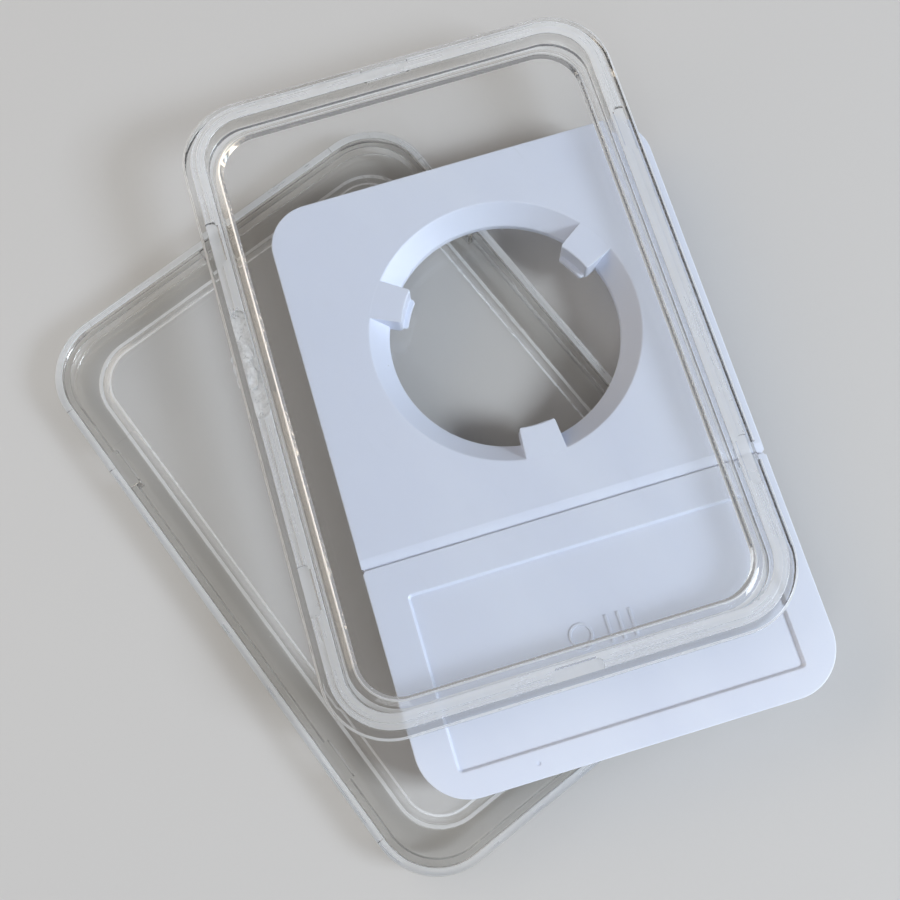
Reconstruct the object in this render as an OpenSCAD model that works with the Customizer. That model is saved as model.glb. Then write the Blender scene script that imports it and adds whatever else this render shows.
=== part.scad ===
// Coin capsule of the snap-slab kind, for a 26.5 mm coin.
// Two clear half shells and a white insert, laid out as a fanned open stack: the back shell
// stands on the ground with its open side up, the insert lies on its rim, and the front shell
// lies on the insert, also open side up. Turned over and pushed down, the front shell's tongue
// drops inside the back shell's rim and the six catch posts snap into the six tongue pockets.

/* [Shells] */
// width of both shells
shell_w = 58.5; // [50:0.5:70]
// length of both shells
shell_l = 85; // [75:0.5:100]
// outer corner radius of both shells
shell_r = 8.5; // [4:0.5:12]
// thickness of the closed capsule, without catches
closed_t = 8; // [7:0.1:10]
// thickness of the frame around each window
frame_t = 1.4; // [1:0.1:2]
// depth by which a window is set back from its frame
window_step = 0.8; // [0.3:0.1:1]
// chamfer on the outer edges of the frames
edge_chamfer = 0.2; // [0.1:0.05:0.6]

/* [Joint between the shells] */
// height of the back shell's rim above the ground face
rim_h = 4.4; // [3.5:0.1:5]
// thickness of the back shell's rim
rim_t = 1; // [0.8:0.1:1.5]
// height of the ledge inside the rim
ledge_h = 3.6; // [3:0.1:4]
// distance of the ledge's inner face from the outside
ledge_in = 1.75; // [1.5:0.05:2.2]
// gap between the rim and the tongue
joint_gap = 0.1; // [0.05:0.01:0.2]
// distance of the tongue's inner face from the outside
tongue_in = 3.1; // [2.8:0.1:3.5]
// height of the inner half of the tongue's tip above its outer half
tongue_step = 0.3; // [0.1:0.1:0.6]

/* [Catches] */
// distance of the side catches from the middle of the long sides
catch_y = 23; // [15:1:30]
// length of a catch post
catch_l = 5.4; // [4:0.1:8]
// length of a tongue pocket
pocket_l = 6.4; // [5:0.1:9]
// radius of the snap bead on a post
bead_r = 0.25; // [0.1:0.05:0.4]

/* [Insert] */
// width of the insert
insert_w = 52; // [45:0.5:60]
// length of the insert
insert_l = 78; // [70:0.5:90]
// thickness of the insert
insert_t = 3.5; // [3:0.1:4]
// corner radius at the coin end
coin_end_r = 5.5; // [3:0.5:8]
// corner radius at the label end
label_end_r = 6.5; // [3:0.5:8]
// diameter of the coin that the prongs hold
coin_d = 26.5; // [20:0.1:32]
// distance of the coin's centre from the middle of the insert
coin_y = 15; // [10:0.5:18]
// radius of the coin hole at the top face
hole_top_r = 17.4; // [16:0.1:20]
// radius of the coin hole below the bevel
hole_r = 15; // [14:0.1:18]
// depth of the hole's bevel
hole_bevel = 2.4; // [1:0.1:3]
// width of a prong where it leaves the plate
prong_w = 5.5; // [4:0.1:8]
// width of a prong at its tip
prong_tip_w = 4.7; // [3:0.1:7]
// width of the lip under the coin
lip_w = 4.1; // [2:0.1:6]
// how far the prongs' lips reach in under the coin
lip_reach = 0.65; // [0.3:0.05:1.5]
// thickness of the lips
lip_t = 0.6; // [0.3:0.1:1]
// distance of the cross groove's steep side from the middle of the insert
groove_y = 9.8; // [8:0.1:12]
// width of the cross groove
groove_w = 1.4; // [0.8:0.1:2]
// depth of the cross groove
groove_d = 0.4; // [0.2:0.1:1]
// width of the label recess
label_w = 43; // [35:0.5:48]
// length of the label recess
label_l = 21.6; // [15:0.1:24]
// distance of the label recess's middle from the middle of the insert
label_y = 24.9; // [20:0.1:28]
// depth of the label recess
label_d = 0.4; // [0.1:0.05:0.6]

/* [Layout] */
// sideways place of the insert's centre on the back shell
insert_x = 16.4; // [-5:0.1:25]
// lengthways place of the insert's centre on the back shell
insert_y = -7.7; // [-20:0.1:20]
// sideways place of the front shell's centre on the back shell
front_x = 16.2; // [-5:0.1:25]
// lengthways place of the front shell's centre on the back shell
front_y = 5.5; // [-20:0.1:20]
// turn of the insert and of the front shell on the back shell
turn = -21.3; // [-45:0.1:0]
// air between pieces that lie on each other
rest_gap = 0.05; // [0.02:0.01:0.2]

/* [Hidden] */
$fn = 96;
eps = 0.01;
front_h = closed_t - ledge_h + 0.2;               // full height of the front shell
flange_h = closed_t - rim_h - rest_gap;           // mating face of the front shell
tongue_h = front_h - tongue_step;                 // outer half of the tongue
tongue_out = rim_t + joint_gap;
tongue_mid = 1.95;
window_top = frame_t + window_step;
insert_z = rim_h + rest_gap;
front_z = insert_z + insert_t + rest_gap;
prong_angles = [30, 150, 270];
clear = [0.86, 0.9, 0.92, 0.35];
white = [0.93, 0.94, 0.96];
// corners of each outline as [x, y, radius, place x, place y, turn], for centring the stack
function corners(w, l, r1, r2, px, py, t) = [
    for (x = [-1, 1], y = [-1, 1]) let (r = y > 0 ? r1 : r2)
        [x * (w / 2 - r), y * (l / 2 - r), r, px, py, t]
];
all_corners = concat(
    corners(shell_w, shell_l, shell_r, shell_r, 0, 0, 0),
    corners(insert_w, insert_l, coin_end_r, label_end_r, insert_x, insert_y, turn),
    corners(shell_w, shell_l, shell_r, shell_r, front_x, front_y, turn)
);
function far_x(s) = max([for (c = all_corners)
    s * (c[3] + c[0] * cos(c[5]) - c[1] * sin(c[5])) + c[2]]);
function far_y(s) = max([for (c = all_corners)
    s * (c[4] + c[0] * sin(c[5]) + c[1] * cos(c[5])) + c[2]]);
// the back shell's place, which puts the middle of the whole stack's footprint on the origin
back_x = (far_x(-1) - far_x(1)) / 2;
back_y = (far_y(-1) - far_y(1)) / 2;
// each catch: place of its middle and the direction it faces, as seen in the back shell
catches = [
    [-shell_w / 2, catch_y, 0], [-shell_w / 2, -catch_y, 0],
    [shell_w / 2, catch_y, 180], [shell_w / 2, -catch_y, 180],
    [0, shell_l / 2, 270], [0, -shell_l / 2, 90]
];

// flat rectangle with round corners, d inside the shell's outline
module outline(d, r) {
    w = shell_w - 2 * d;
    l = shell_l - 2 * d;
    square([w - 2 * r, l], center = true);
    square([w, l - 2 * r], center = true);
    for (x = [-1, 1], y = [-1, 1])
        translate([x * (w / 2 - r), y * (l / 2 - r)]) circle(r = r);
}

// upright slab d inside the outline, from z0 to z1
module slab(d, r, z0, z1) {
    translate([0, 0, z0]) linear_extrude(z1 - z0) outline(d, r);
}

// slab whose side slopes: d0 inside the outline at z0 and d1 inside it at z1
module sloped(d0, r0, z0, d1, z1) {
    w0 = shell_w / 2 - d0;
    w1 = shell_w / 2 - d1;
    l0 = shell_l / 2 - d0;
    l1 = shell_l / 2 - d1;
    rotate([90, 0, 0]) linear_extrude(2 * (l0 - r0), center = true)
        polygon([[-w0, z0], [w0, z0], [w1, z1], [-w1, z1]]);
    rotate([90, 0, 90]) linear_extrude(2 * (w0 - r0), center = true)
        polygon([[-l0, z0], [l0, z0], [l1, z1], [-l1, z1]]);
    for (x = [-1, 1], y = [-1, 1])
        translate([x * (w0 - r0), y * (l0 - r0), z0])
            cylinder(r1 = r0, r2 = r0 - (d1 - d0), h = z1 - z0);
}

// frame plate and window of a half shell: the window steps up by window_step.
// foot and head are the bevel's distances from the outside, bevel_r its radius at the foot
module frame_and_window(foot, head, bevel_r) {
    difference() {
        union() {
            sloped(edge_chamfer, shell_r - edge_chamfer, 0, 0, edge_chamfer);
            slab(0, shell_r, edge_chamfer, frame_t);
            sloped(foot, bevel_r, frame_t, head, window_top);
        }
        translate([0, 0, -eps])
            sloped(foot + 0.5, bevel_r - 0.3, 0, head + 0.45, window_step + eps);
    }
}

// a post with a snap bead, standing inside the rim and facing +X from x = 0 at the outside
module catch_post() {
    x1 = ledge_in + 0.6;
    translate([rim_t - 0.3, -catch_l / 2, frame_t - 0.2])
        cube([x1 - rim_t + 0.3, catch_l, rim_h - 0.4 - frame_t + 0.2]);
    translate([x1 - 0.08, 0, rim_h - 0.9]) rotate([90, 0, 0])
        cylinder(r = bead_r, h = catch_l - 0.8, center = true, $fn = 32);
}

// the space for a post in the tongue, with the groove that its bead snaps into
module tongue_pocket() {
    x1 = ledge_in + 0.75;
    floor_z = closed_t - rim_h + 0.2;
    translate([rim_t - 0.2, -pocket_l / 2 + 0.5, floor_z])
        cube([x1 - rim_t + 0.2, pocket_l - 1, 5]);
    for (y = [-1, 1])
        translate([(tongue_out + x1) / 2 - 0.1, y * (pocket_l / 2 - 0.7), floor_z])
            cylinder(r = 0.7, h = 5, $fn = 48);
    translate([x1 - 0.08, 0, closed_t - rim_h + 0.9]) rotate([90, 0, 0])
        cylinder(r = bead_r + 0.05, h = catch_l - 0.4, center = true, $fn = 32);
}

// back half: frame, window, rim with a ledge, and the six catch posts
module back_shell() {
    color(clear) translate([back_x, back_y, 0]) {
        frame_and_window(4.4, 5.8, 6.3);
        difference() {
            slab(0, shell_r, frame_t - 0.2, rim_h);
            slab(ledge_in, 7, frame_t - 0.3, rim_h + 1);
            slab(rim_t, shell_r - rim_t, ledge_h, rim_h + 1);
        }
        for (c = catches) translate([c[0], c[1], 0]) rotate(c[2]) catch_post();
        // narrow raised line at the foot of the bevel
        difference() {
            slab(4.2, 6.4, frame_t - 0.2, frame_t + 0.3);
            slab(4.75, 6, frame_t - 0.3, frame_t + 1);
        }
    }
}

// pill-shaped hollow in the tongue around the broken-off gate
module gate_hollow() {
    translate([-shell_w / 2 + 2.05, 6.3, tongue_h - 0.45]) {
        translate([-1, -6.3, 0]) cube([2, 12.6, 3]);
        for (y = [-6.3, 6.3]) translate([0, y, 0]) cylinder(r = 1, h = 3, $fn = 48);
    }
}

// rough stub that is left where the gate was broken off
module gate_stub() {
    x0 = -shell_w / 2;
    translate([0, 6.3, 0]) {
        translate([0, 0, frame_t]) linear_extrude(1.7) polygon([
            [x0 + 0.5, -2.6], [x0 - 0.12, -2.2], [x0 - 0.3, -1.3], [x0 - 0.1, -0.8],
            [x0 - 0.34, 0.2], [x0 - 0.2, 1.1], [x0 - 0.38, 1.7], [x0 + 0.5, 2.6]
        ]);
        translate([0, 0, tongue_h - 0.6]) linear_extrude(0.5) polygon([
            [x0 + 1.3, -3.4], [x0 + 2.2, -2.9], [x0 + 2.6, -1.2], [x0 + 2.2, 0.3],
            [x0 + 2.7, 1.4], [x0 + 2.3, 2.9], [x0 + 1.6, 3.3], [x0 + 1.25, 1.2],
            [x0 + 1.5, -0.4], [x0 + 1.2, -1.8]
        ]);
    }
}

// front half, in its own place with its outer face on z = 0
module front_body() {
    difference() {
        union() {
            frame_and_window(3.4, 4.3, 6.4);
            difference() {
                union() {
                    slab(0, shell_r, frame_t - 0.2, flange_h - 0.3);
                    sloped(0, shell_r, flange_h - 0.3, 0.3, flange_h);
                    slab(tongue_out, 7.9, frame_t, tongue_h);
                    slab(tongue_mid, 6.9, frame_t, front_h);
                }
                slab(tongue_in, 5.8, frame_t - 0.3, front_h + 1);
            }
        }
        for (c = catches) translate([c[0], c[1], 0]) rotate(c[2]) tongue_pocket();
        gate_hollow();
        // thumb notch for opening
        translate([shell_w / 2 - 0.4, -23.2, frame_t]) cube([1, 2.4, 3]);
    }
    gate_stub();
}

module front_shell() {
    color(clear) translate([back_x + front_x, back_y + front_y, front_z])
        rotate(turn) front_body();
}

// outline of the insert: two corner radii, and the small nicks beside the cross groove
module insert_outline() {
    w = insert_w / 2;
    l = insert_l / 2;
    difference() {
        union() {
            square([insert_w - 2 * label_end_r, insert_l], center = true);
            translate([-w, -l + label_end_r])
                square([insert_w, insert_l - label_end_r - coin_end_r]);
            for (x = [-1, 1]) {
                translate([x * (w - label_end_r), -l + label_end_r]) circle(r = label_end_r);
                translate([x * (w - coin_end_r), l - coin_end_r]) circle(r = coin_end_r);
                translate([x * (w - label_end_r) - 2, l - 4]) square([4, 4]);
            }
        }
        for (x = [-1, 1]) translate([x * (w + 0.05), -groove_y]) circle(r = 0.35, $fn = 32);
    }
}

// flat tab from x0 to x1, w0 wide at its round-cornered end and w1 wide at its root
module tab(x0, x1, w0, w1, r) {
    polygon([[x0 + r, -w0 / 2], [x1, -w1 / 2], [x1, w1 / 2], [x0 + r, w0 / 2]]);
    translate([x0, -w0 / 2 + r]) square([x1 - x0, w0 - 2 * r]);
    for (y = [-1, 1]) translate([x0 + r, y * (w0 / 2 - r)]) circle(r = r, $fn = 48);
}

// a prong: reaches in from the plate, hollow tip on the coin's rim, narrower lip under the coin
module prong(a) {
    root = hole_top_r + 1.2;
    translate([0, coin_y, 0]) rotate(a) difference() {
        union() {
            linear_extrude(insert_t) tab(coin_d / 2 - 0.2, root, prong_tip_w, prong_w, 0.5);
            linear_extrude(lip_t) tab(coin_d / 2 - lip_reach - 0.15, root - 2, lip_w, lip_w, 0.6);
        }
        translate([0, 0, lip_t]) cylinder(d = coin_d, h = insert_t);
        translate([0, 0, -1]) cylinder(r = coin_d / 2 - lip_reach, h = insert_t + 2);
    }
}

// generic size mark: a ring and three short bars, standing up from the label recess
module size_mark() {
    translate([0, -label_y + 0.3, insert_t - label_d - 0.1]) {
        translate([-2.9, 0, 0]) difference() {
            cylinder(r = 1.5, h = 0.25);
            translate([0, 0, -1]) cylinder(r = 1.15, h = 3);
        }
        for (i = [0:2]) translate([0.4 + i * 1.5, -1.5, 0]) cube([0.4, 3, 0.25]);
    }
}

// the insert in its own place with its underside on z = 0
module insert_body() {
    difference() {
        linear_extrude(insert_t) insert_outline();
        // coin hole with a bevel
        translate([0, coin_y, -1]) cylinder(r = hole_r, h = insert_t + 2);
        translate([0, coin_y, insert_t - hole_bevel])
            cylinder(r1 = hole_r, r2 = hole_top_r, h = hole_bevel);
        translate([0, coin_y, insert_t - eps]) cylinder(r = hole_top_r, h = 1);
        // cross groove: gentle on the coin's side, steep on the label's side
        rotate([90, 0, 90]) linear_extrude(insert_w + 2, center = true) polygon([
            [-groove_y, insert_t - groove_d], [-groove_y, insert_t + 1],
            [-groove_y + groove_w, insert_t + 1], [-groove_y + groove_w, insert_t]
        ]);
        // label recess with sloping sides
        translate([0, -label_y, 0]) intersection() {
            rotate([90, 0, 0]) linear_extrude(label_l + 2, center = true) polygon([
                [-label_w / 2 + 0.25, insert_t - label_d], [label_w / 2 - 0.25, insert_t - label_d],
                [label_w / 2, insert_t], [label_w / 2, insert_t + 1],
                [-label_w / 2, insert_t + 1], [-label_w / 2, insert_t]
            ]);
            rotate([90, 0, 90]) linear_extrude(label_w + 2, center = true) polygon([
                [-label_l / 2 + 0.25, insert_t - label_d], [label_l / 2 - 0.25, insert_t - label_d],
                [label_l / 2, insert_t], [label_l / 2, insert_t + 1],
                [-label_l / 2, insert_t + 1], [-label_l / 2, insert_t]
            ]);
        }
        // ejector mark beside the recess
        translate([-12.2, -37.2, insert_t - 0.1]) cylinder(r = 0.25, h = 1, $fn = 32);
    }
    for (a = prong_angles) prong(a);
    size_mark();
}

module insert() {
    color(white) translate([back_x + insert_x, back_y + insert_y, insert_z])
        rotate(turn) insert_body();
}

back_shell();
insert();
front_shell();
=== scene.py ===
import math
import random

import bmesh
import bpy
from mathutils import Matrix, Vector, noise


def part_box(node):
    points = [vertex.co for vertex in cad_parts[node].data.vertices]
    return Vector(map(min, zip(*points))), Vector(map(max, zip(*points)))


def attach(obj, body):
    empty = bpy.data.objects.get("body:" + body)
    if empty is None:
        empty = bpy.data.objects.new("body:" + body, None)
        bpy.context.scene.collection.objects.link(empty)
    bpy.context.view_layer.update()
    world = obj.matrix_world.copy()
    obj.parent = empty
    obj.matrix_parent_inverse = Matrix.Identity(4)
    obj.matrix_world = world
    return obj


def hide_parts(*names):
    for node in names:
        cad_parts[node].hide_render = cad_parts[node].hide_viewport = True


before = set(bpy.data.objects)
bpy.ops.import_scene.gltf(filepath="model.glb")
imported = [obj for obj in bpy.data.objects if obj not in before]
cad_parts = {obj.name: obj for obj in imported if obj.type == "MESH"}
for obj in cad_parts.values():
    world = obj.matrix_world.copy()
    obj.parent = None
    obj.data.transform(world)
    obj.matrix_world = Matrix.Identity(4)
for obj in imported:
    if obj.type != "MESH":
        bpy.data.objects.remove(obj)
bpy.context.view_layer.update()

MM = 0.001

# ---------------------------------------------------------------- sizes, in mm
# both shells: outline, corner radius, frame, window and edge chamfer
SHELL_W, SHELL_L, SHELL_R = 58.5, 85.0, 8.5
FRAME_T, WINDOW_TOP, WINDOW_STEP = 1.4, 2.2, 0.8
CHAMFER = 0.2
# back shell: rim and the ledge inside it
RIM_H, RIM_T = 4.4, 1.0
LEDGE_H, LEDGE_IN = 3.6, 1.75
# front shell: mating face, then the tongue's outer and inner half
FLANGE_H, TONGUE_H, FRONT_H = 3.55, 4.3, 4.6
TONGUE_OUT, TONGUE_MID, TONGUE_IN = 1.1, 1.95, 3.1
# catches: place on the long sides, length of a post and of its pocket, the post's face, its snap bead
CATCH_Y, CATCH_L, POCKET_L = 23.0, 5.4, 6.4
POST_IN, BEAD_R = 2.35, 0.25
# middle of the broken-off gate
GATE_Y = 6.3
# insert: plate, corner radii, coin hole, prongs and lips, cross groove, label recess
INSERT_W, INSERT_L, INSERT_T = 52.0, 78.0, 3.5
COIN_END_R, LABEL_END_R = 5.5, 6.5
COIN_Y, COIN_R = 15.0, 13.25
HOLE_TOP_R, HOLE_R, HOLE_BEVEL = 17.4, 15.0, 2.4
PRONG_W, PRONG_TIP_W = 5.5, 4.7
LIP_W, LIP_REACH, LIP_T = 4.1, 0.65, 0.6
GROOVE_Y, GROOVE_W, GROOVE_D = 9.8, 1.4, 0.4
LABEL_W, LABEL_L, LABEL_Y, LABEL_D = 43.0, 21.6, 24.9, 0.4

# ---------------------------------------------------------------- layout, in mm
# the back shell's middle and the undersides of the pieces above it come from the frame;
# the pieces above it are turned and shifted on it
back_lo, back_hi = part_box("back_shell")
BACK_X = (back_lo[0] + back_hi[0]) / 2 / MM
BACK_Y = (back_lo[1] + back_hi[1]) / 2 / MM
INSERT_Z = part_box("insert")[0][2] / MM
FRONT_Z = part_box("front_shell")[0][2] / MM
INSERT_X, INSERT_Y = 16.4, -7.7
FRONT_X, FRONT_Y = 16.2, 5.5
TURN = math.radians(-21.3)

# the material slots of both shells
CLEAR, BRUSHED, BROKEN, WALL = 0, 1, 2, 3


# ---------------------------------------------------------------- mesh helpers
def ring(w, l, radii, arc=20, sides=(8, 12)):
    """Points of a rectangle with round corners, counter-clockwise from the lower right,
    radii from the lower right corner on."""
    pts = []
    corners = [(1, -1, -90), (1, 1, 0), (-1, 1, 90), (-1, -1, 180)]
    for k, (sx, sy, a0) in enumerate(corners):
        r = radii[k]
        cx, cy = sx * (w / 2 - r), sy * (l / 2 - r)
        for i in range(arc + 1):
            a = math.radians(a0 + 90 * i / arc)
            pts.append((cx + r * math.cos(a), cy + r * math.sin(a)))
        nx, ny, na = corners[(k + 1) % 4]
        rn = radii[(k + 1) % 4]
        ex, ey = nx * (w / 2 - rn), ny * (l / 2 - rn)
        a = math.radians(na)
        end = (ex + rn * math.cos(a), ey + rn * math.sin(a))
        n = sides[1] if k in (0, 2) else sides[0]
        x0, y0 = pts[-1]
        for i in range(1, n):
            t = i / n
            pts.append((x0 + (end[0] - x0) * t, y0 + (end[1] - y0) * t))
    return pts


def soften(profile):
    """Rounds the corners of an open profile of (inset, corner radius, z, fillet, tag). A point's tag is for
    the face that follows it, and a sixth value is the fillet's own tag."""
    steps = 3
    out = []
    for i, p in enumerate(profile):
        f = p[3]
        if i in (0, len(profile) - 1) or f <= 0:
            out.append((p[0], p[1], p[2], p[4]))
            continue
        P = Vector(p[:3])
        A, B = Vector(profile[i - 1][:3]), Vector(profile[i + 1][:3])
        la = math.hypot(A[0] - P[0], A[2] - P[2])
        lb = math.hypot(B[0] - P[0], B[2] - P[2])
        ta, tb = min(f / la, 0.45), min(f / lb, 0.45)
        a, b = P + (A - P) * ta, P + (B - P) * tb
        for k in range(steps + 1):
            t = k / steps
            q = a * (1 - t) ** 2 + P * 2 * t * (1 - t) + b * t * t
            tag = profile[i - 1][4] if t < 0.5 else p[4]
            if len(p) > 5:
                tag = p[5]
            out.append((q[0], q[1], q[2], p[4] if k == steps else tag))
    return out


def loft(profile, w, l, arc=20, sides=(8, 12), label_r=None):
    """Closed solid through round-cornered rings. A profile point is (inset, corner radius, z, tag);
    both ends are capped. The flow UV is length along the ring and inset."""
    bm = bmesh.new()
    uv = bm.loops.layers.uv.new("flow")
    rings = []
    for d, r, z, tag in profile:
        radii = [r] * 4 if label_r is None else [label_r(r), r, r, label_r(r)]
        pts = ring(w - 2 * d, l - 2 * d, radii, arc, sides)
        rings.append([bm.verts.new((x, y, z)) for x, y in pts])
    n = len(rings[0])
    run = [0.0]
    for i in range(n):
        a, b = rings[0][i].co, rings[0][(i + 1) % n].co
        run.append(run[-1] + (b - a).length)
    along = 0.0
    for k in range(len(rings) - 1):
        step = math.hypot(profile[k + 1][0] - profile[k][0], profile[k + 1][2] - profile[k][2])
        for i in range(n):
            j = (i + 1) % n
            f = bm.faces.new((rings[k][i], rings[k][j], rings[k + 1][j], rings[k + 1][i]))
            f.material_index = profile[k][3]
            for loop, (u, v) in zip(
                f.loops,
                ((run[i], along), (run[i + 1], along), (run[i + 1], along + step), (run[i], along + step)),
            ):
                loop[uv].uv = (u, v)
        along += step
    bm.faces.new(list(reversed(rings[0])))
    bm.faces.new(rings[-1])
    bmesh.ops.recalc_face_normals(bm, faces=bm.faces)
    return bm


def lathe(profile, segments, centre=(0, 0)):
    """Closed solid of revolution about Z through (radius, z) points; both ends are capped."""
    bm = bmesh.new()
    rings = []
    for r, z in profile:
        rings.append(
            [
                bm.verts.new(
                    (
                        centre[0] + r * math.cos(2 * math.pi * i / segments),
                        centre[1] + r * math.sin(2 * math.pi * i / segments),
                        z,
                    )
                )
                for i in range(segments)
            ]
        )
    for a, b in zip(rings, rings[1:]):
        for i in range(segments):
            j = (i + 1) % segments
            bm.faces.new((a[i], a[j], b[j], b[i]))
    bm.faces.new(list(reversed(rings[0])))
    bm.faces.new(rings[-1])
    bmesh.ops.recalc_face_normals(bm, faces=bm.faces)
    return bm


def prism(points, z0, z1, mat=0, bevel=0.0):
    """Upright prism on a polygon, with its edges rounded by bevel."""
    bm = bmesh.new()
    low = [bm.verts.new((x, y, z0)) for x, y in points]
    high = [bm.verts.new((x, y, z1)) for x, y in points]
    n = len(points)
    for i in range(n):
        j = (i + 1) % n
        bm.faces.new((low[i], low[j], high[j], high[i]))
    bm.faces.new(list(reversed(low)))
    bm.faces.new(high)
    bmesh.ops.recalc_face_normals(bm, faces=bm.faces)
    if bevel > 0:
        edges = [e for e in bm.edges if e.calc_face_angle(0) > 0.6]
        bmesh.ops.bevel(bm, geom=edges, offset=bevel, segments=2, profile=0.5, affect="EDGES")
    for f in bm.faces:
        f.material_index = mat
    return bm


def block(x0, x1, y0, y1, z0, z1, bevel=0.0):
    return prism([(x0, y0), (x1, y0), (x1, y1), (x0, y1)], z0, z1, bevel=bevel)


def rod(length, radius, centre):
    """Cylinder along Y about its centre."""
    bm = lathe([(radius, -length / 2), (radius, length / 2)], 24)
    bmesh.ops.rotate(bm, verts=bm.verts, cent=(0, 0, 0), matrix=Matrix.Rotation(math.pi / 2, 3, "X"))
    bmesh.ops.translate(bm, verts=bm.verts, vec=centre)
    return bm


def moved(bm, angle=0.0, place=(0, 0, 0)):
    bmesh.ops.rotate(bm, verts=bm.verts, cent=(0, 0, 0), matrix=Matrix.Rotation(angle, 3, "Z"))
    bmesh.ops.translate(bm, verts=bm.verts, vec=place)
    return bm


def joined(bms):
    """One bmesh of several that don't touch."""
    out = bmesh.new()
    for bm in bms:
        me = bpy.data.meshes.new("part")
        bm.to_mesh(me)
        bm.free()
        out.from_mesh(me)
        bpy.data.meshes.remove(me)
    return out


def as_object(bm, name, solid=True):
    if solid and bm.calc_volume(signed=True) < 0:
        bmesh.ops.reverse_faces(bm, faces=bm.faces)
    me = bpy.data.meshes.new(name)
    bm.to_mesh(me)
    bm.free()
    ob = bpy.data.objects.new(name, me)
    bpy.context.scene.collection.objects.link(ob)
    return ob


def combine(base, operations):
    """Applies exact booleans to base, one after the other."""
    for kind, bm in operations:
        tool = as_object(bm, "tool")
        for m in base.data.materials:
            tool.data.materials.append(m)
        mod = base.modifiers.new("cut", "BOOLEAN")
        mod.operation = kind
        mod.solver = "EXACT"
        mod.object = tool
        deps = bpy.context.evaluated_depsgraph_get()
        result = bpy.data.meshes.new_from_object(base.evaluated_get(deps), depsgraph=deps)
        base.modifiers.clear()
        old = base.data
        base.data = result
        bpy.data.meshes.remove(old)
        bpy.data.objects.remove(tool)
    return base


def placed(make, spots):
    """One bmesh with a copy, at each (x, y, degrees), of a solid that faces +X from a wall's outside."""
    return joined([moved(make(), math.radians(a), (x, y, 0)) for x, y, a in spots])


def finished(ob, name, node, turn, place):
    """Puts a solid made in mm into the frame and makes it stand for its CAD node."""
    me = ob.data
    to_frame = Matrix.Translation(Vector(place) * MM) @ Matrix.Rotation(turn, 4, "Z")
    me.transform(to_frame @ Matrix.Scale(MM, 4))
    bm = bmesh.new()
    bm.from_mesh(me)
    bmesh.ops.remove_doubles(bm, verts=bm.verts, dist=2e-7)
    bmesh.ops.dissolve_degenerate(bm, edges=bm.edges, dist=2e-7)
    bmesh.ops.recalc_face_normals(bm, faces=bm.faces)
    bm.to_mesh(me)
    bm.free()
    for p in me.polygons:
        p.use_smooth = True
    me.set_sharp_from_angle(angle=math.radians(38))
    ob.name = me.name = name
    wn = ob.modifiers.new("even_normals", "WEIGHTED_NORMAL")
    wn.mode = "FACE_AREA"
    wn.weight = 80
    wn.keep_sharp = True
    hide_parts(node)
    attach(ob, node)


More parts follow.
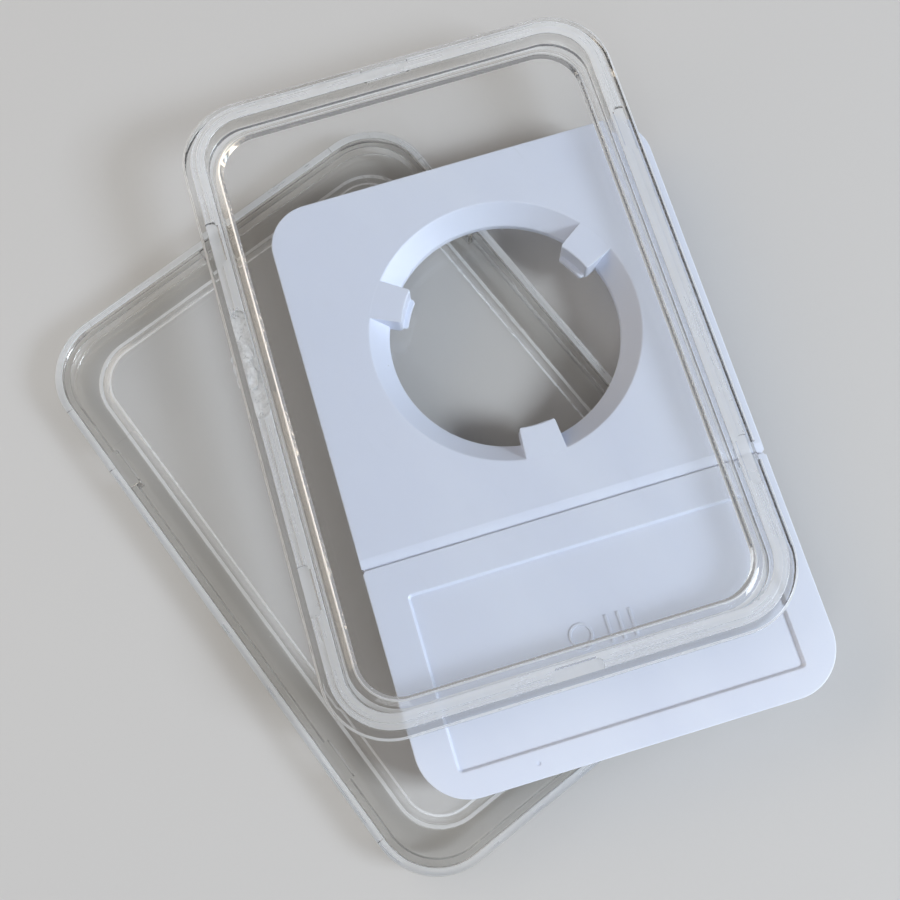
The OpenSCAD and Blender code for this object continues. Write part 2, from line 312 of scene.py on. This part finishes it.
# ---------------------------------------------------------------- material helpers
class Nodes:
    """A new material and short ways to add its nodes."""

    def __init__(self, name):
        self.mat = bpy.data.materials.new(name)
        self.mat.use_nodes = True
        self.nt = self.mat.node_tree
        self.nt.nodes.clear()

    def add(self, kind, **values):
        n = self.nt.nodes.new(kind)
        for k, v in values.items():
            setattr(n, k, v)
        return n

    def link(self, a, b):
        self.nt.links.new(a, b)

    def math(self, op, a, b=None, clamp=False):
        n = self.add("ShaderNodeMath", operation=op, use_clamp=clamp)
        for i, v in enumerate((a, b)):
            if v is None:
                continue
            if isinstance(v, (int, float)):
                n.inputs[i].default_value = v
            else:
                self.link(v, n.inputs[i])
        return n.outputs[0]

    def range(self, value, a, b, c, d):
        n = self.add("ShaderNodeMapRange")
        n.interpolation_type = "SMOOTHSTEP"
        for i, v in zip((1, 2, 3, 4), (a, b, c, d)):
            n.inputs[i].default_value = v
        self.link(value, n.inputs[0])
        return n.outputs[0]

    def coords(self, kind="Object", scale=(1, 1, 1), turn=0.0, move=(0, 0, 0)):
        """Object coordinates in metres, or the flow UV in mm, turned about Z, scaled and moved."""
        if kind == "flow":
            out = self.add("ShaderNodeUVMap", uv_map="flow").outputs[0]
        else:
            out = self.add("ShaderNodeTexCoord").outputs[kind]
        m = self.add("ShaderNodeMapping")
        m.inputs["Scale"].default_value = scale
        m.inputs["Rotation"].default_value = (0, 0, turn)
        m.inputs["Location"].default_value = move
        self.link(out, m.inputs[0])
        return m.outputs[0]

    def noise(self, vector, scale, detail=2.0, rough=0.5, distortion=0.0):
        n = self.add("ShaderNodeTexNoise")
        self.link(vector, n.inputs["Vector"])
        n.inputs["Scale"].default_value = scale
        n.inputs["Detail"].default_value = detail
        n.inputs["Roughness"].default_value = rough
        n.inputs["Distortion"].default_value = distortion
        return n.outputs[0]

    def specks(self, vector, scale, size, share):
        """White dots: cells of a Voronoi pattern within size of their centre, only share of them."""
        v = self.add("ShaderNodeTexVoronoi")
        self.link(vector, v.inputs["Vector"])
        v.inputs["Scale"].default_value = scale
        near = self.range(v.outputs["Distance"], size * 0.6, size, 1, 0)
        sep = self.add("ShaderNodeSeparateColor")
        self.link(v.outputs["Color"], sep.inputs[0])
        few = self.math("LESS_THAN", sep.outputs[0], share)
        return self.math("MULTIPLY", near, few)

    def scratches(self, turn, scale, width, share, move=(0, 0, 0)):
        """Thin broken hairlines in one direction."""
        vec = self.coords("Object", (scale, scale * 0.035, scale), turn, move)
        line = self.noise(vec, 1.0, 0.0)
        off = self.math("ABSOLUTE", self.math("SUBTRACT", line, 0.5))
        thin = self.range(off, 0.0, width, 1, 0)
        gate = self.noise(self.coords("Object", (1, 1, 1), turn, move), 160, 1.0)
        return self.math("MULTIPLY", thin, self.range(gate, 1 - share, 1.06 - share, 0, 1))

    def colours(self, fac, a, b):
        m = self.add("ShaderNodeMix", data_type="RGBA")
        self.link(fac, m.inputs[0])
        for i, v in ((6, a), (7, b)):
            if isinstance(v, tuple):
                m.inputs[i].default_value = (*v, 1)
            else:
                self.link(v, m.inputs[i])
        return m.outputs[2]

    def bump(self, height, distance, strength=1.0, normal=None):
        b = self.add("ShaderNodeBump")
        b.inputs["Distance"].default_value = distance
        b.inputs["Strength"].default_value = strength
        self.link(height, b.inputs["Height"])
        if normal is not None:
            self.link(normal, b.inputs["Normal"])
        return b.outputs[0]

    def principled(self, **sockets):
        p = self.add("ShaderNodeBsdfPrincipled")
        for k, v in sockets.items():
            s = p.inputs[k.replace("_", " ")]
            if isinstance(v, (int, float, tuple)):
                s.default_value = v
            else:
                self.link(v, s)
        return p

    def out(self, shader):
        o = self.add("ShaderNodeOutputMaterial")
        self.link(shader, o.inputs["Surface"])
        return self.mat

    def glassy(self, principled, tint, edge=(0.5, 0.51, 0.52)):
        """Lets lamps through the clear plastic, dimmed at each surface, most where it stands edge-on."""
        path = self.add("ShaderNodeLightPath")
        clear = self.add("ShaderNodeBsdfTransparent")
        facing = self.add("ShaderNodeLayerWeight")
        facing.inputs[0].default_value = 0.5
        edge_on = self.range(facing.outputs["Facing"], 0.35, 0.95, 0, 1)
        self.link(self.colours(edge_on, tint, edge), clear.inputs[0])
        shader = principled.outputs[0]
        for ray in ("Is Diffuse Ray", "Is Shadow Ray"):
            mix = self.add("ShaderNodeMixShader")
            self.link(path.outputs[ray], mix.inputs[0])
            self.link(shader, mix.inputs[1])
            self.link(clear.outputs[0], mix.inputs[2])
            shader = mix.outputs[0]
        return self.out(shader)


# ---------------------------------------------------------------- materials
POLYSTYRENE_IOR = 1.57


def clear_plastic(name, seed, shade=(0.993, 0.994, 0.995)):
    """Polished clear plastic with dust, hairlines and slight waviness; shade is what it lets through."""
    m = Nodes(name)
    shift = (seed * 0.37, seed * 0.21, 0)
    obj = m.coords("Object", move=shift)
    dust = m.specks(obj, 900, 0.055, 0.05)
    dust2 = m.specks(m.coords("Object", move=(0.1 + shift[0], 0, 0)), 420, 0.05, 0.035)
    hair = m.math(
        "MAXIMUM",
        m.scratches(0.5 + seed, 2400, 0.012, 0.46, shift),
        m.scratches(-0.9 + seed, 2000, 0.010, 0.43, shift),
    )
    marks = m.math("MAXIMUM", m.math("MAXIMUM", dust, dust2), m.math("MULTIPLY", hair, 0.5))
    smear = m.range(m.noise(obj, 75, 3.0, 0.55), 0.42, 0.75, 0.0, 0.035)
    rough = m.math("ADD", m.math("ADD", smear, 0.02), m.math("MULTIPLY", marks, 0.4), clamp=True)
    tone = m.colours(m.noise(obj, 40, 1.0), (0.98, 0.988, 0.99), (0.996, 0.998, 0.998))
    colour = m.colours(m.math("MULTIPLY", marks, 0.5), tone, (0.72, 0.73, 0.72))
    wave = m.bump(m.noise(obj, 95, 1.0), 0.00003, 0.5)
    relief = m.bump(marks, 0.000012, 0.6, wave)
    p = m.principled(
        Base_Color=colour, Roughness=rough, IOR=POLYSTYRENE_IOR, Transmission_Weight=1.0, Normal=relief
    )
    return m.glassy(p, shade, (0.5, 0.5, 0.5))


def brushed_plastic(name, seed):
    """Finely striped, slightly matte clear plastic of the rim tops and the tongue tips."""
    m = Nodes(name)
    fine = m.noise(m.coords("flow", (0.0, 2.4, 1), move=(seed, 0, 0)), 1.0, 1.0, 0.5)
    grain = m.noise(m.coords("Object"), 5200, 2.0)
    wear = m.noise(m.coords("Object", move=(seed, 0, 0)), 130, 3.0, 0.6)
    nick = m.specks(m.coords("Object", move=(seed, 0.3, 0)), 1300, 0.09, 0.06)
    rough = m.math(
        "ADD",
        m.range(fine, 0.3, 0.7, 0.22, 0.32),
        m.math("ADD", m.range(wear, 0.4, 0.7, 0.0, 0.12), m.math("MULTIPLY", nick, 0.25)),
        clamp=True,
    )
    tone = m.colours(m.range(fine, 0.35, 0.65, 0, 1), (0.95, 0.97, 1.0), (0.985, 0.995, 1.0))
    colour = m.colours(m.range(wear, 0.45, 0.75, 0, 0.5), tone, (0.90, 0.89, 0.87))
    b1 = m.bump(fine, 0.000009, 0.4)
    b2 = m.bump(grain, 0.000003, 0.3, b1)
    p = m.principled(
        Base_Color=colour, Roughness=rough, IOR=POLYSTYRENE_IOR, Transmission_Weight=0.6, Normal=b2
    )
    return m.glassy(p, (0.88, 0.88, 0.875), (0.5, 0.5, 0.5))


def broken_plastic(name):
    """Whitish fracture where the gate was broken off."""
    m = Nodes(name)
    obj = m.coords("Object")
    crack = m.noise(obj, 1500, 4.0, 0.7, 1.2)
    fine = m.noise(obj, 6000, 3.0)
    rough = m.range(crack, 0.3, 0.7, 0.25, 0.6)
    colour = m.colours(m.range(crack, 0.35, 0.65, 0, 1), (0.74, 0.745, 0.75), (0.97, 0.975, 0.98))
    b = m.bump(fine, 0.00004, 0.7, m.bump(crack, 0.0002, 0.9))
    p = m.principled(
        Base_Color=colour, Roughness=rough, IOR=POLYSTYRENE_IOR, Transmission_Weight=0.45, Normal=b
    )
    return m.glassy(p, (0.75, 0.76, 0.77))


def white_plastic(name):
    """Satin white moulding: flow marks, fine grain, dust, and polished edges with a painted highlight on
    them.
    """
    m = Nodes(name)
    obj = m.coords("Object")
    flow = m.noise(m.coords("Object", (1, 0.3, 1), 0.37), 55, 3.0, 0.55, 0.4)
    grain = m.noise(obj, 2600, 3.0, 0.6)
    fine = m.noise(obj, 9000, 2.0)
    dust = m.specks(obj, 700, 0.05, 0.03)
    edge = m.add("ShaderNodeBevel", samples=4)
    edge.inputs["Radius"].default_value = 0.00035
    geo = m.add("ShaderNodeNewGeometry")
    dot = m.add("ShaderNodeVectorMath", operation="DOT_PRODUCT")
    m.link(edge.outputs[0], dot.inputs[0])
    m.link(geo.outputs["Normal"], dot.inputs[1])
    rounded = m.range(dot.outputs["Value"], 0.99, 0.9, 0, 1)
    # rounded edges: this mask lowers the roughness there (real polish) and lightens the colour there
    # (painted highlight)
    edge_polish_and_highlight = m.math("MULTIPLY", rounded, m.range(grain, 0.3, 0.7, 0.3, 1))
    tone = m.colours(m.range(flow, 0.3, 0.7, 0, 1), (0.73, 0.775, 0.90), (0.77, 0.815, 0.93))
    # painted highlight: the colour of the rounded edges is mixed towards a lighter blue-white
    tone = m.colours(m.math("MULTIPLY", edge_polish_and_highlight, 0.35), tone, (0.85, 0.87, 0.94))
    colour = m.colours(m.math("MULTIPLY", dust, 0.5), tone, (0.52, 0.50, 0.47))
    rough = m.math(
        "ADD",
        m.range(grain, 0.3, 0.7, 0.36, 0.46),
        m.math("SUBTRACT", m.range(flow, 0.3, 0.7, 0.0, 0.06), m.math("MULTIPLY", edge_polish_and_highlight, 0.1)),
    )
    b = m.bump(fine, 0.000006, 0.5, m.bump(grain, 0.00001, 0.6))
    p = m.principled(
        Base_Color=colour,
        Roughness=rough,
        IOR=1.5,
        Normal=b,
        Subsurface_Weight=0.12,
        Subsurface_Radius=(0.0012, 0.0013, 0.0014),
        Subsurface_Scale=1.0,
    )
    return m.out(p.outputs[0])


def floor_paper(name):
    """Plain pale paper."""
    m = Nodes(name)
    obj = m.coords("Object")
    tone = m.colours(m.noise(obj, 9, 3.0), (0.61, 0.592, 0.572), (0.645, 0.626, 0.605))
    grain = m.noise(obj, 1600, 3.0)
    p = m.principled(
        Base_Color=tone,
        Roughness=m.range(grain, 0.3, 0.7, 0.55, 0.7),
        Normal=m.bump(grain, 0.00002, 0.25),
    )
    return m.out(p.outputs[0])


def shell_materials(ob, seed):
    """The four materials of a shell, in the order CLEAR, BRUSHED, BROKEN, WALL."""
    for mat in (
        clear_plastic(f"clear_plastic_{seed}", seed),
        brushed_plastic(f"brushed_rim_{seed}", seed),
        broken_plastic(f"broken_gate_{seed}"),
        clear_plastic(f"clear_wall_{seed}", seed + 5, (0.82, 0.81, 0.79)),
    ):
        ob.data.materials.append(mat)


# ---------------------------------------------------------------- back shell
HALF_W, HALF_L = SHELL_W / 2, SHELL_L / 2
CATCHES = (
    (-HALF_W, CATCH_Y, 0),
    (-HALF_W, -CATCH_Y, 0),
    (HALF_W, CATCH_Y, 180),
    (HALF_W, -CATCH_Y, 180),
    (0, HALF_L, 270),
    (0, -HALF_L, 90),
)

# underside, outside, rim, ledge, shelf, raised line, bevel and window
back_profile = soften(
    [
        (6.25, 4.65, WINDOW_STEP, 0, CLEAR),
        (4.9, 6.0, 0.0, 0.25, WALL),
        (CHAMFER, 8.3, 0.0, 0.07, WALL),
        (0.0, SHELL_R, CHAMFER, 0.09, WALL),
        (0.0, SHELL_R, RIM_H, 0.14, BRUSHED),
        (RIM_T, 7.5, RIM_H, 0.12, WALL),
        (RIM_T, 7.5, LEDGE_H, 0.1, WALL),
        (LEDGE_IN, 7.0, LEDGE_H, 0.12, WALL),
        (LEDGE_IN, 7.0, FRAME_T, 0.3, WALL),
        (4.2, 6.4, FRAME_T, 0.08, WALL),
        (4.22, 6.38, 1.68, 0.12, BRUSHED),
        (4.72, 6.05, 1.7, 0.12, WALL),
        (4.78, 5.95, 1.62, 0.1, CLEAR),
        (5.8, 4.9, WINDOW_TOP, 0.16, CLEAR, BRUSHED),
        (6.4, 4.5, WINDOW_TOP, 0, CLEAR),
    ]
)
back = as_object(loft(back_profile, SHELL_W, SHELL_L), "back")
shell_materials(back, 1)


def post():
    y = CATCH_L / 2
    return block(RIM_T - 0.3, POST_IN, -y, y, FRAME_T - 0.2, RIM_H - 0.4, bevel=0.14)


def bead():
    return rod(CATCH_L - 0.8, BEAD_R, (POST_IN - 0.08, 0, RIM_H - 0.9))


def knit_line():
    """Shallow line that the melt left across the rim's top."""
    return block(-0.05, 1.02, -0.035, 0.035, RIM_H - 0.022, 5.0)


def shelf_line():
    """Hairline cut that follows the shelf, the raised line and the bevel, drawn as seen along the wall."""
    bm = prism(
        [
            (2.15, 1.375), (4.17, 1.375), (4.2, 1.66), (4.74, 1.68),
            (4.8, 1.59), (5.84, 2.17), (5.84, 2.5), (2.15, 2.5),
        ],
        -0.03,
        0.03,
    )
    for v in bm.verts:
        x, y, z = v.co
        v.co = (x, z, y)
    bm.normal_update()
    bmesh.ops.recalc_face_normals(bm, faces=bm.faces)
    return bm


knit_lines = placed(
    knit_line,
    (
        (-HALF_W, HALF_L - 8.9, 0),
        (-HALF_W, CATCH_Y + 0.6, 0),
        (-HALF_W + 9.2, HALF_L, 270),
        (HALF_W - 9.4, HALF_L, 270),
        (-HALF_W, -HALF_L + 9.0, 0),
        (HALF_W, HALF_L - 9.2, 180),
    ),
)
shelf_lines = placed(
    shelf_line,
    (
        (-HALF_W, CATCH_Y + 4.2, 0),
        (-HALF_W, -CATCH_Y + 4.0, 0),
        (HALF_W, CATCH_Y - 4.1, 180),
        (HALF_W, -CATCH_Y - 4.2, 180),
        (4.3, HALF_L, 270),
        (-4.2, -HALF_L, 90),
    ),
)
combine(
    back,
    [
        ("UNION", placed(post, CATCHES)),
        ("UNION", placed(bead, CATCHES)),
        ("DIFFERENCE", knit_lines),
        ("DIFFERENCE", shelf_lines),
    ],
)
finished(back, "clear_back_shell", "back_shell", 0.0, (BACK_X, BACK_Y, 0.0))


# ---------------------------------------------------------------- front shell
# underside, outside, mating face, tongue's two steps, inner wall, bevel and window
front_profile = soften(
    [
        (4.75, 5.25, WINDOW_STEP, 0, CLEAR),
        (3.9, 6.1, 0.0, 0.22, WALL),
        (CHAMFER, 8.3, 0.0, 0.07, WALL),
        (0.0, SHELL_R, CHAMFER, 0.09, WALL),
        (0.0, SHELL_R, 3.25, 0.1, BRUSHED),
        (0.3, 8.2, FLANGE_H, 0.1, WALL),
        (TONGUE_OUT, 7.9, FLANGE_H, 0.1, WALL),
        (TONGUE_OUT, 7.9, TONGUE_H, 0.12, BRUSHED),
        (TONGUE_MID, 6.9, TONGUE_H, 0.06, WALL),
        (TONGUE_MID, 6.9, FRONT_H, 0.08, BRUSHED),
        (TONGUE_IN, 5.8, FRONT_H, 0.14, WALL),
        (TONGUE_IN, 5.8, FRAME_T, 0.1, BRUSHED),
        (3.4, 6.4, FRAME_T, 0.1, CLEAR),
        (4.3, 5.5, WINDOW_TOP, 0.16, CLEAR, BRUSHED),
        (4.9, 5.0, WINDOW_TOP, 0, CLEAR),
    ]
)
front = as_object(loft(front_profile, SHELL_W, SHELL_L), "front")
shell_materials(front, 2)


def pocket():
    """Round-ended space for a post, with a brushed floor."""
    pts = [(x + 1.65, y) for x, y in ring(1.7, POCKET_L, [0.7] * 4, 8, (2, 2))]
    bm = prism(pts, 3.8, 6.0)
    for f in bm.faces:
        if f.normal.z < -0.9:
            f.material_index = BRUSHED
    return bm


def pocket_groove():
    """Groove in the pocket's wall that the bead snaps into."""
    return rod(CATCH_L - 0.4, BEAD_R + 0.05, (POST_IN + 0.07, 0, 4.5))


def gate_hollow():
    """Pill-shaped hollow in the tongue around the broken-off gate."""
    pts = [(x, y + GATE_Y) for x, y in ring(2.0, 14.6, [0.99] * 4, 12, (1, 6))]
    return moved(prism(pts, TONGUE_H - 0.45, 6.0, BROKEN), 0.0, (-HALF_W + 2.05, 0, 0))


def rough_stub(points, z0, z1, seed, amount):
    """Broken stub: a prism whose faces are finely cut and roughened. Its points are measured from the
    shell's outside and from the gate's middle."""
    rng = random.Random(seed)
    noise.seed_set(seed)
    bm = prism([(x - HALF_W, y + GATE_Y) for x, y in points], z0, z1)
    bmesh.ops.triangulate(bm, faces=bm.faces)
    bmesh.ops.subdivide_edges(bm, edges=bm.edges, cuts=3, use_grid_fill=True)
    for v in bm.verts:
        n = noise.noise_vector(Vector(v.co) * 2.1 + Vector((seed, 0, 0)))
        v.co += Vector((n[0], n[1], n[2])) * amount + Vector((0, 0, rng.uniform(-0.3, 0.3) * amount))
    for f in bm.faces:
        f.material_index = BROKEN
    return bm


side_stub = rough_stub(
    [
        (0.5, -2.6), (-0.12, -2.2), (-0.26, -1.3), (-0.1, -0.8),
        (-0.28, 0.2), (-0.18, 1.1), (-0.3, 1.7), (0.5, 2.6),
    ],
    1.45, 3.05, seed=3, amount=0.1,
)
top_stub = rough_stub(
    [
        (1.35, -3.3), (2.2, -2.9), (2.6, -1.2), (2.2, 0.3), (2.7, 1.4),
        (2.3, 2.9), (1.6, 3.2), (1.3, 1.2), (1.55, -0.4), (1.3, -1.8),
    ],
    TONGUE_H - 0.65, TONGUE_H - 0.12, seed=5, amount=0.16,
)
# thumb notch for opening
notch = block(HALF_W - 0.4, HALF_W + 1, -23.2, -20.8, FRAME_T, 4.0, bevel=0.12)
combine(
    front,
    [
        ("DIFFERENCE", placed(pocket, CATCHES)),
        ("DIFFERENCE", placed(pocket_groove, CATCHES)),
        ("DIFFERENCE", gate_hollow()),
        ("DIFFERENCE", notch),
        ("UNION", side_stub),
        ("UNION", top_stub),
    ],
)
finished(
    front,
    "clear_front_shell",
    "front_shell",
    TURN,
    (BACK_X + FRONT_X, BACK_Y + FRONT_Y, FRONT_Z),
)


# ---------------------------------------------------------------- insert
def label_end(r):
    """Corner radius at the label end for one at the coin end."""
    return r + (LABEL_END_R - COIN_END_R)


insert = as_object(
    loft(
        soften(
            [
                (3.0, 2.5, 0.0, 0, 0),
                (0.0, COIN_END_R, 0.0, 0.15, 0),
                (0.0, COIN_END_R, INSERT_T, 0.15, 0),
                (3.0, 2.5, INSERT_T, 0, 0),
            ]
        ),
        INSERT_W,
        INSERT_L,
        label_r=label_end,
    ),
    "plate",
)
insert.data.materials.append(white_plastic("white_plastic"))

T = INSERT_T
hole = lathe(
    [
        (HOLE_R + 0.25, -1.0), (HOLE_R + 0.25, -0.02), (HOLE_R + 0.08, 0.06), (HOLE_R, 0.25),
        (HOLE_R, T - HOLE_BEVEL - 0.15), (HOLE_R + 0.03, T - HOLE_BEVEL),
        (HOLE_R + 0.12, T - HOLE_BEVEL + 0.12),
        (HOLE_TOP_R - 0.12, T - 0.12), (HOLE_TOP_R - 0.02, T - 0.045), (HOLE_TOP_R + 0.1, T - 0.008),
        (HOLE_TOP_R + 0.16, T + 0.01), (HOLE_TOP_R + 0.2, T + 1.0),
    ],
    160,
    (0, COIN_Y),
)


def across(points, length):
    """Prism along X on a cross-section of (y, z) points."""
    bm = prism(points, -length / 2, length / 2)
    for v in bm.verts:
        x, y, z = v.co
        v.co = (z, x, y)
    bm.normal_update()
    bmesh.ops.recalc_face_normals(bm, faces=bm.faces)
    return bm


groove = across(
    [
        (-GROOVE_Y - 0.06, T + 1.0), (-GROOVE_Y - 0.055, T + 0.01), (-GROOVE_Y - 0.01, T - 0.04),
        (-GROOVE_Y, T - 0.1), (-GROOVE_Y, T - GROOVE_D + 0.07), (-GROOVE_Y + 0.05, T - GROOVE_D + 0.015),
        (-GROOVE_Y + 0.14, T - GROOVE_D + 0.025), (-GROOVE_Y + GROOVE_W - 0.35, T - 0.085),
        (-GROOVE_Y + GROOVE_W, T - 0.008), (-GROOVE_Y + GROOVE_W + 0.06, T + 0.01),
        (-GROOVE_Y + GROOVE_W + 0.1, T + 1.0),
    ],
    INSERT_W + 2,
)
nicks = joined(
    [
        moved(lathe([(0.35, -1), (0.35, 6)], 32), 0.0, (s * (INSERT_W / 2 + 0.05), -GROOVE_Y, 0))
        for s in (-1, 1)
    ]
)
recess = loft(
    [
        (0.40, 0.3, T - LABEL_D, 0),
        (0.26, 0.38, T - LABEL_D, 0),
        (0.2, 0.42, T - LABEL_D + 0.04, 0),
        (0.05, 0.5, T - 0.1, 0),
        (0.0, 0.55, T - 0.045, 0),
        (-0.08, 0.6, T - 0.008, 0),
        (-0.13, 0.62, T + 0.01, 0),
        (-0.15, 0.65, T + 1.0, 0),
    ],
    LABEL_W,
    LABEL_L,
    arc=6,
    sides=(6, 4),
)
bmesh.ops.translate(recess, verts=recess.verts, vec=(0, -LABEL_Y, 0))
ejector = moved(lathe([(0.25, T - 0.1), (0.25, T + 1)], 24), 0.0, (-12.2, -37.2, 0))


def tab(x0, x1, w0, w1, r, steps=6):
    """Outline of a flat tab from x0 to x1: w0 wide at its round-cornered end, w1 wide at its root."""
    pts = [(x1, -w1 / 2), (x1, w1 / 2)]
    for sign, start in ((1, 90), (-1, 180)):
        for i in range(steps + 1):
            a = math.radians(start + 90 * i / steps)
            pts.append((x0 + r + r * math.cos(a), sign * (w0 / 2 - r) + r * math.sin(a)))
    return pts


def prong(angle):
    """A lug that reaches in from the plate, hollow at its tip, with a narrower lip under the coin."""
    root = HOLE_TOP_R + 1.2
    bm = prism(tab(COIN_R - 0.2, root, PRONG_TIP_W, PRONG_W, 0.5), 0.02, T - 0.02, bevel=0.09)
    lip = prism(tab(COIN_R - LIP_REACH - 0.15, root - 2, LIP_W, LIP_W, 0.6), 0.03, LIP_T, bevel=0.09)
    ob = as_object(moved(bm, angle, (0, COIN_Y, 0)), "prong")
    combine(ob, [("UNION", moved(lip, angle, (0, COIN_Y, 0)))])
    combine(
        ob,
        [
            (
                "DIFFERENCE",
                lathe(
                    [
                        (COIN_R - 0.12, LIP_T), (COIN_R - 0.02, LIP_T + 0.03), (COIN_R, LIP_T + 0.1),
                        (COIN_R, T - 0.3), (COIN_R + 0.03, T - 0.14), (COIN_R + 0.12, T - 0.05),
                        (COIN_R + 0.25, T + 0.01), (COIN_R + 0.3, T + 1),
                    ],
                    160,
                    (0, COIN_Y),
                ),
            ),
            (
                "DIFFERENCE",
                lathe(
                    [
                        (COIN_R - LIP_REACH, -1), (COIN_R - LIP_REACH, LIP_T - 0.1),
                        (COIN_R - LIP_REACH + 0.1, LIP_T + 0.01), (COIN_R - LIP_REACH + 0.12, LIP_T + 1),
                    ],
                    160,
                    (0, COIN_Y),
                ),
            ),
        ],
    )
    bm = bmesh.new()
    bm.from_mesh(ob.data)
    bpy.data.objects.remove(ob)
    return bm


def size_mark():
    """Generic size mark: a ring and three short bars."""
    z0, z1 = T - LABEL_D - 0.1, T - LABEL_D + 0.15
    n = 40
    band = bmesh.new()
    loops = []
    for r, z in ((1.12, z0), (1.52, z0), (1.5, z1 - 0.05), (1.45, z1), (1.2, z1), (1.15, z1 - 0.05)):
        loops.append(
            [
                band.verts.new((r * math.cos(2 * math.pi * i / n), r * math.sin(2 * math.pi * i / n), z))
                for i in range(n)
            ]
        )
    for a, b in zip(loops, loops[1:] + loops[:1]):
        for i in range(n):
            j = (i + 1) % n
            band.faces.new((a[i], a[j], b[j], b[i]))
    bmesh.ops.recalc_face_normals(band, faces=band.faces)
    y = -LABEL_Y + 0.3
    marks = [moved(band, 0.0, (-2.9, y, 0))]
    for i in range(3):
        x = 0.4 + 1.5 * i
        marks.append(block(x, x + 0.4, y - 1.5, y + 1.5, z0, z1, bevel=0.06))
    return joined(marks)


combine(
    insert,
    [
        ("DIFFERENCE", hole),
        ("DIFFERENCE", groove),
        ("DIFFERENCE", nicks),
        ("DIFFERENCE", recess),
        ("DIFFERENCE", ejector),
        ("UNION", joined([prong(math.radians(a)) for a in (30, 150, 270)])),
        ("UNION", size_mark()),
    ],
)
finished(
    insert,
    "white_insert",
    "insert",
    TURN,
    (BACK_X + INSERT_X, BACK_Y + INSERT_Y, INSERT_Z),
)


# ---------------------------------------------------------------- floor, in metres
FLOOR_SIZE, FLOOR_CELLS = 2.6, 12
FLOOR_Z = -0.00004


def floor_grid():
    bm = bmesh.new()
    n = FLOOR_CELLS
    at = [(i / n - 0.5) * FLOOR_SIZE for i in range(n + 1)]
    grid = [[bm.verts.new((x, y, FLOOR_Z)) for y in at] for x in at]
    for i in range(n):
        for j in range(n):
            bm.faces.new((grid[i][j], grid[i + 1][j], grid[i + 1][j + 1], grid[i][j + 1]))
    return bm


floor = as_object(floor_grid(), "floor", solid=False)
floor.data.materials.append(floor_paper("floor_paper"))


# ---------------------------------------------------------------- camera, in metres
# nearly above; TWIST turns the picture, TILT and LEAN tip the view off the vertical
CAM_PLACE = (-0.0259, -0.0313, 0.1550)
TILT, LEAN, TWIST = math.radians(-14.63), math.radians(1.72), math.radians(37.84)
axes = (
    Matrix.Rotation(TILT, 3, "X")
    @ Matrix.Rotation(LEAN, 3, "Y")
    @ Matrix.Diagonal((1, -1, -1))
    @ Matrix.Rotation(TWIST, 3, "Z")
).transposed() @ Matrix.Diagonal((1, -1, -1))
cam = bpy.data.objects.new("camera", bpy.data.cameras.new("camera"))
bpy.context.scene.collection.objects.link(cam)
cam.matrix_world = Matrix.Translation(CAM_PLACE) @ axes.to_4x4()
cam.data.sensor_width = 36.0
cam.data.lens = 48.3
cam.data.shift_x = 0.0154
cam.data.shift_y = -0.0368
cam.data.clip_start = 0.005
cam.data.clip_end = 20.0
bpy.context.scene.camera = cam


# ---------------------------------------------------------------- light
def softbox(name, place, size, watts, colour):
    """Rectangular lamp that faces the part."""
    data = bpy.data.lights.new(name, "AREA")
    data.shape = "RECTANGLE"
    data.size, data.size_y = size
    data.energy = watts
    data.color = colour
    ob = bpy.data.objects.new(name, data)
    bpy.context.scene.collection.objects.link(ob)
    ob.location = place
    ob.rotation_euler = (-Vector(place)).to_track_quat("-Z", "Y").to_euler()


softbox("window_light", (0.80, -1.10, 0.98), (0.55, 0.42), 27.0, (0.83, 0.91, 1.0))
softbox("left_fill", (-0.80, 1.24, 0.74), (2.0, 1.2), 14.0, (1.0, 0.87, 0.70))
softbox("top_fill", (-0.90, -0.70, 1.20), (0.8, 0.8), 4.5, (0.92, 0.96, 1.0))

HORIZON, ZENITH = (0.35, 0.35, 0.355, 1), (0.13, 0.135, 0.15, 1)


def studio_world():
    """Soft grey surroundings, darker overhead."""
    world = bpy.data.worlds.new("studio")
    bpy.context.scene.world = world
    world.use_nodes = True
    wt = world.node_tree
    sky = wt.nodes["Background"]
    where = wt.nodes.new("ShaderNodeTexCoord")
    split = wt.nodes.new("ShaderNodeSeparateXYZ")
    height = wt.nodes.new("ShaderNodeMapRange")
    tone = wt.nodes.new("ShaderNodeMix")
    tone.data_type = "RGBA"
    height.interpolation_type = "SMOOTHSTEP"
    for i, v in zip((1, 2, 3, 4), (0.15, 0.75, 0.0, 1.0)):
        height.inputs[i].default_value = v
    tone.inputs[6].default_value = HORIZON
    tone.inputs[7].default_value = ZENITH
    wt.links.new(where.outputs["Generated"], split.inputs[0])
    wt.links.new(split.outputs["Z"], height.inputs[0])
    wt.links.new(height.outputs[0], tone.inputs[0])
    wt.links.new(tone.outputs[2], sky.inputs[0])
    sky.inputs[1].default_value = 1.0


studio_world()
bpy.context.scene.view_settings.view_transform = "Standard"
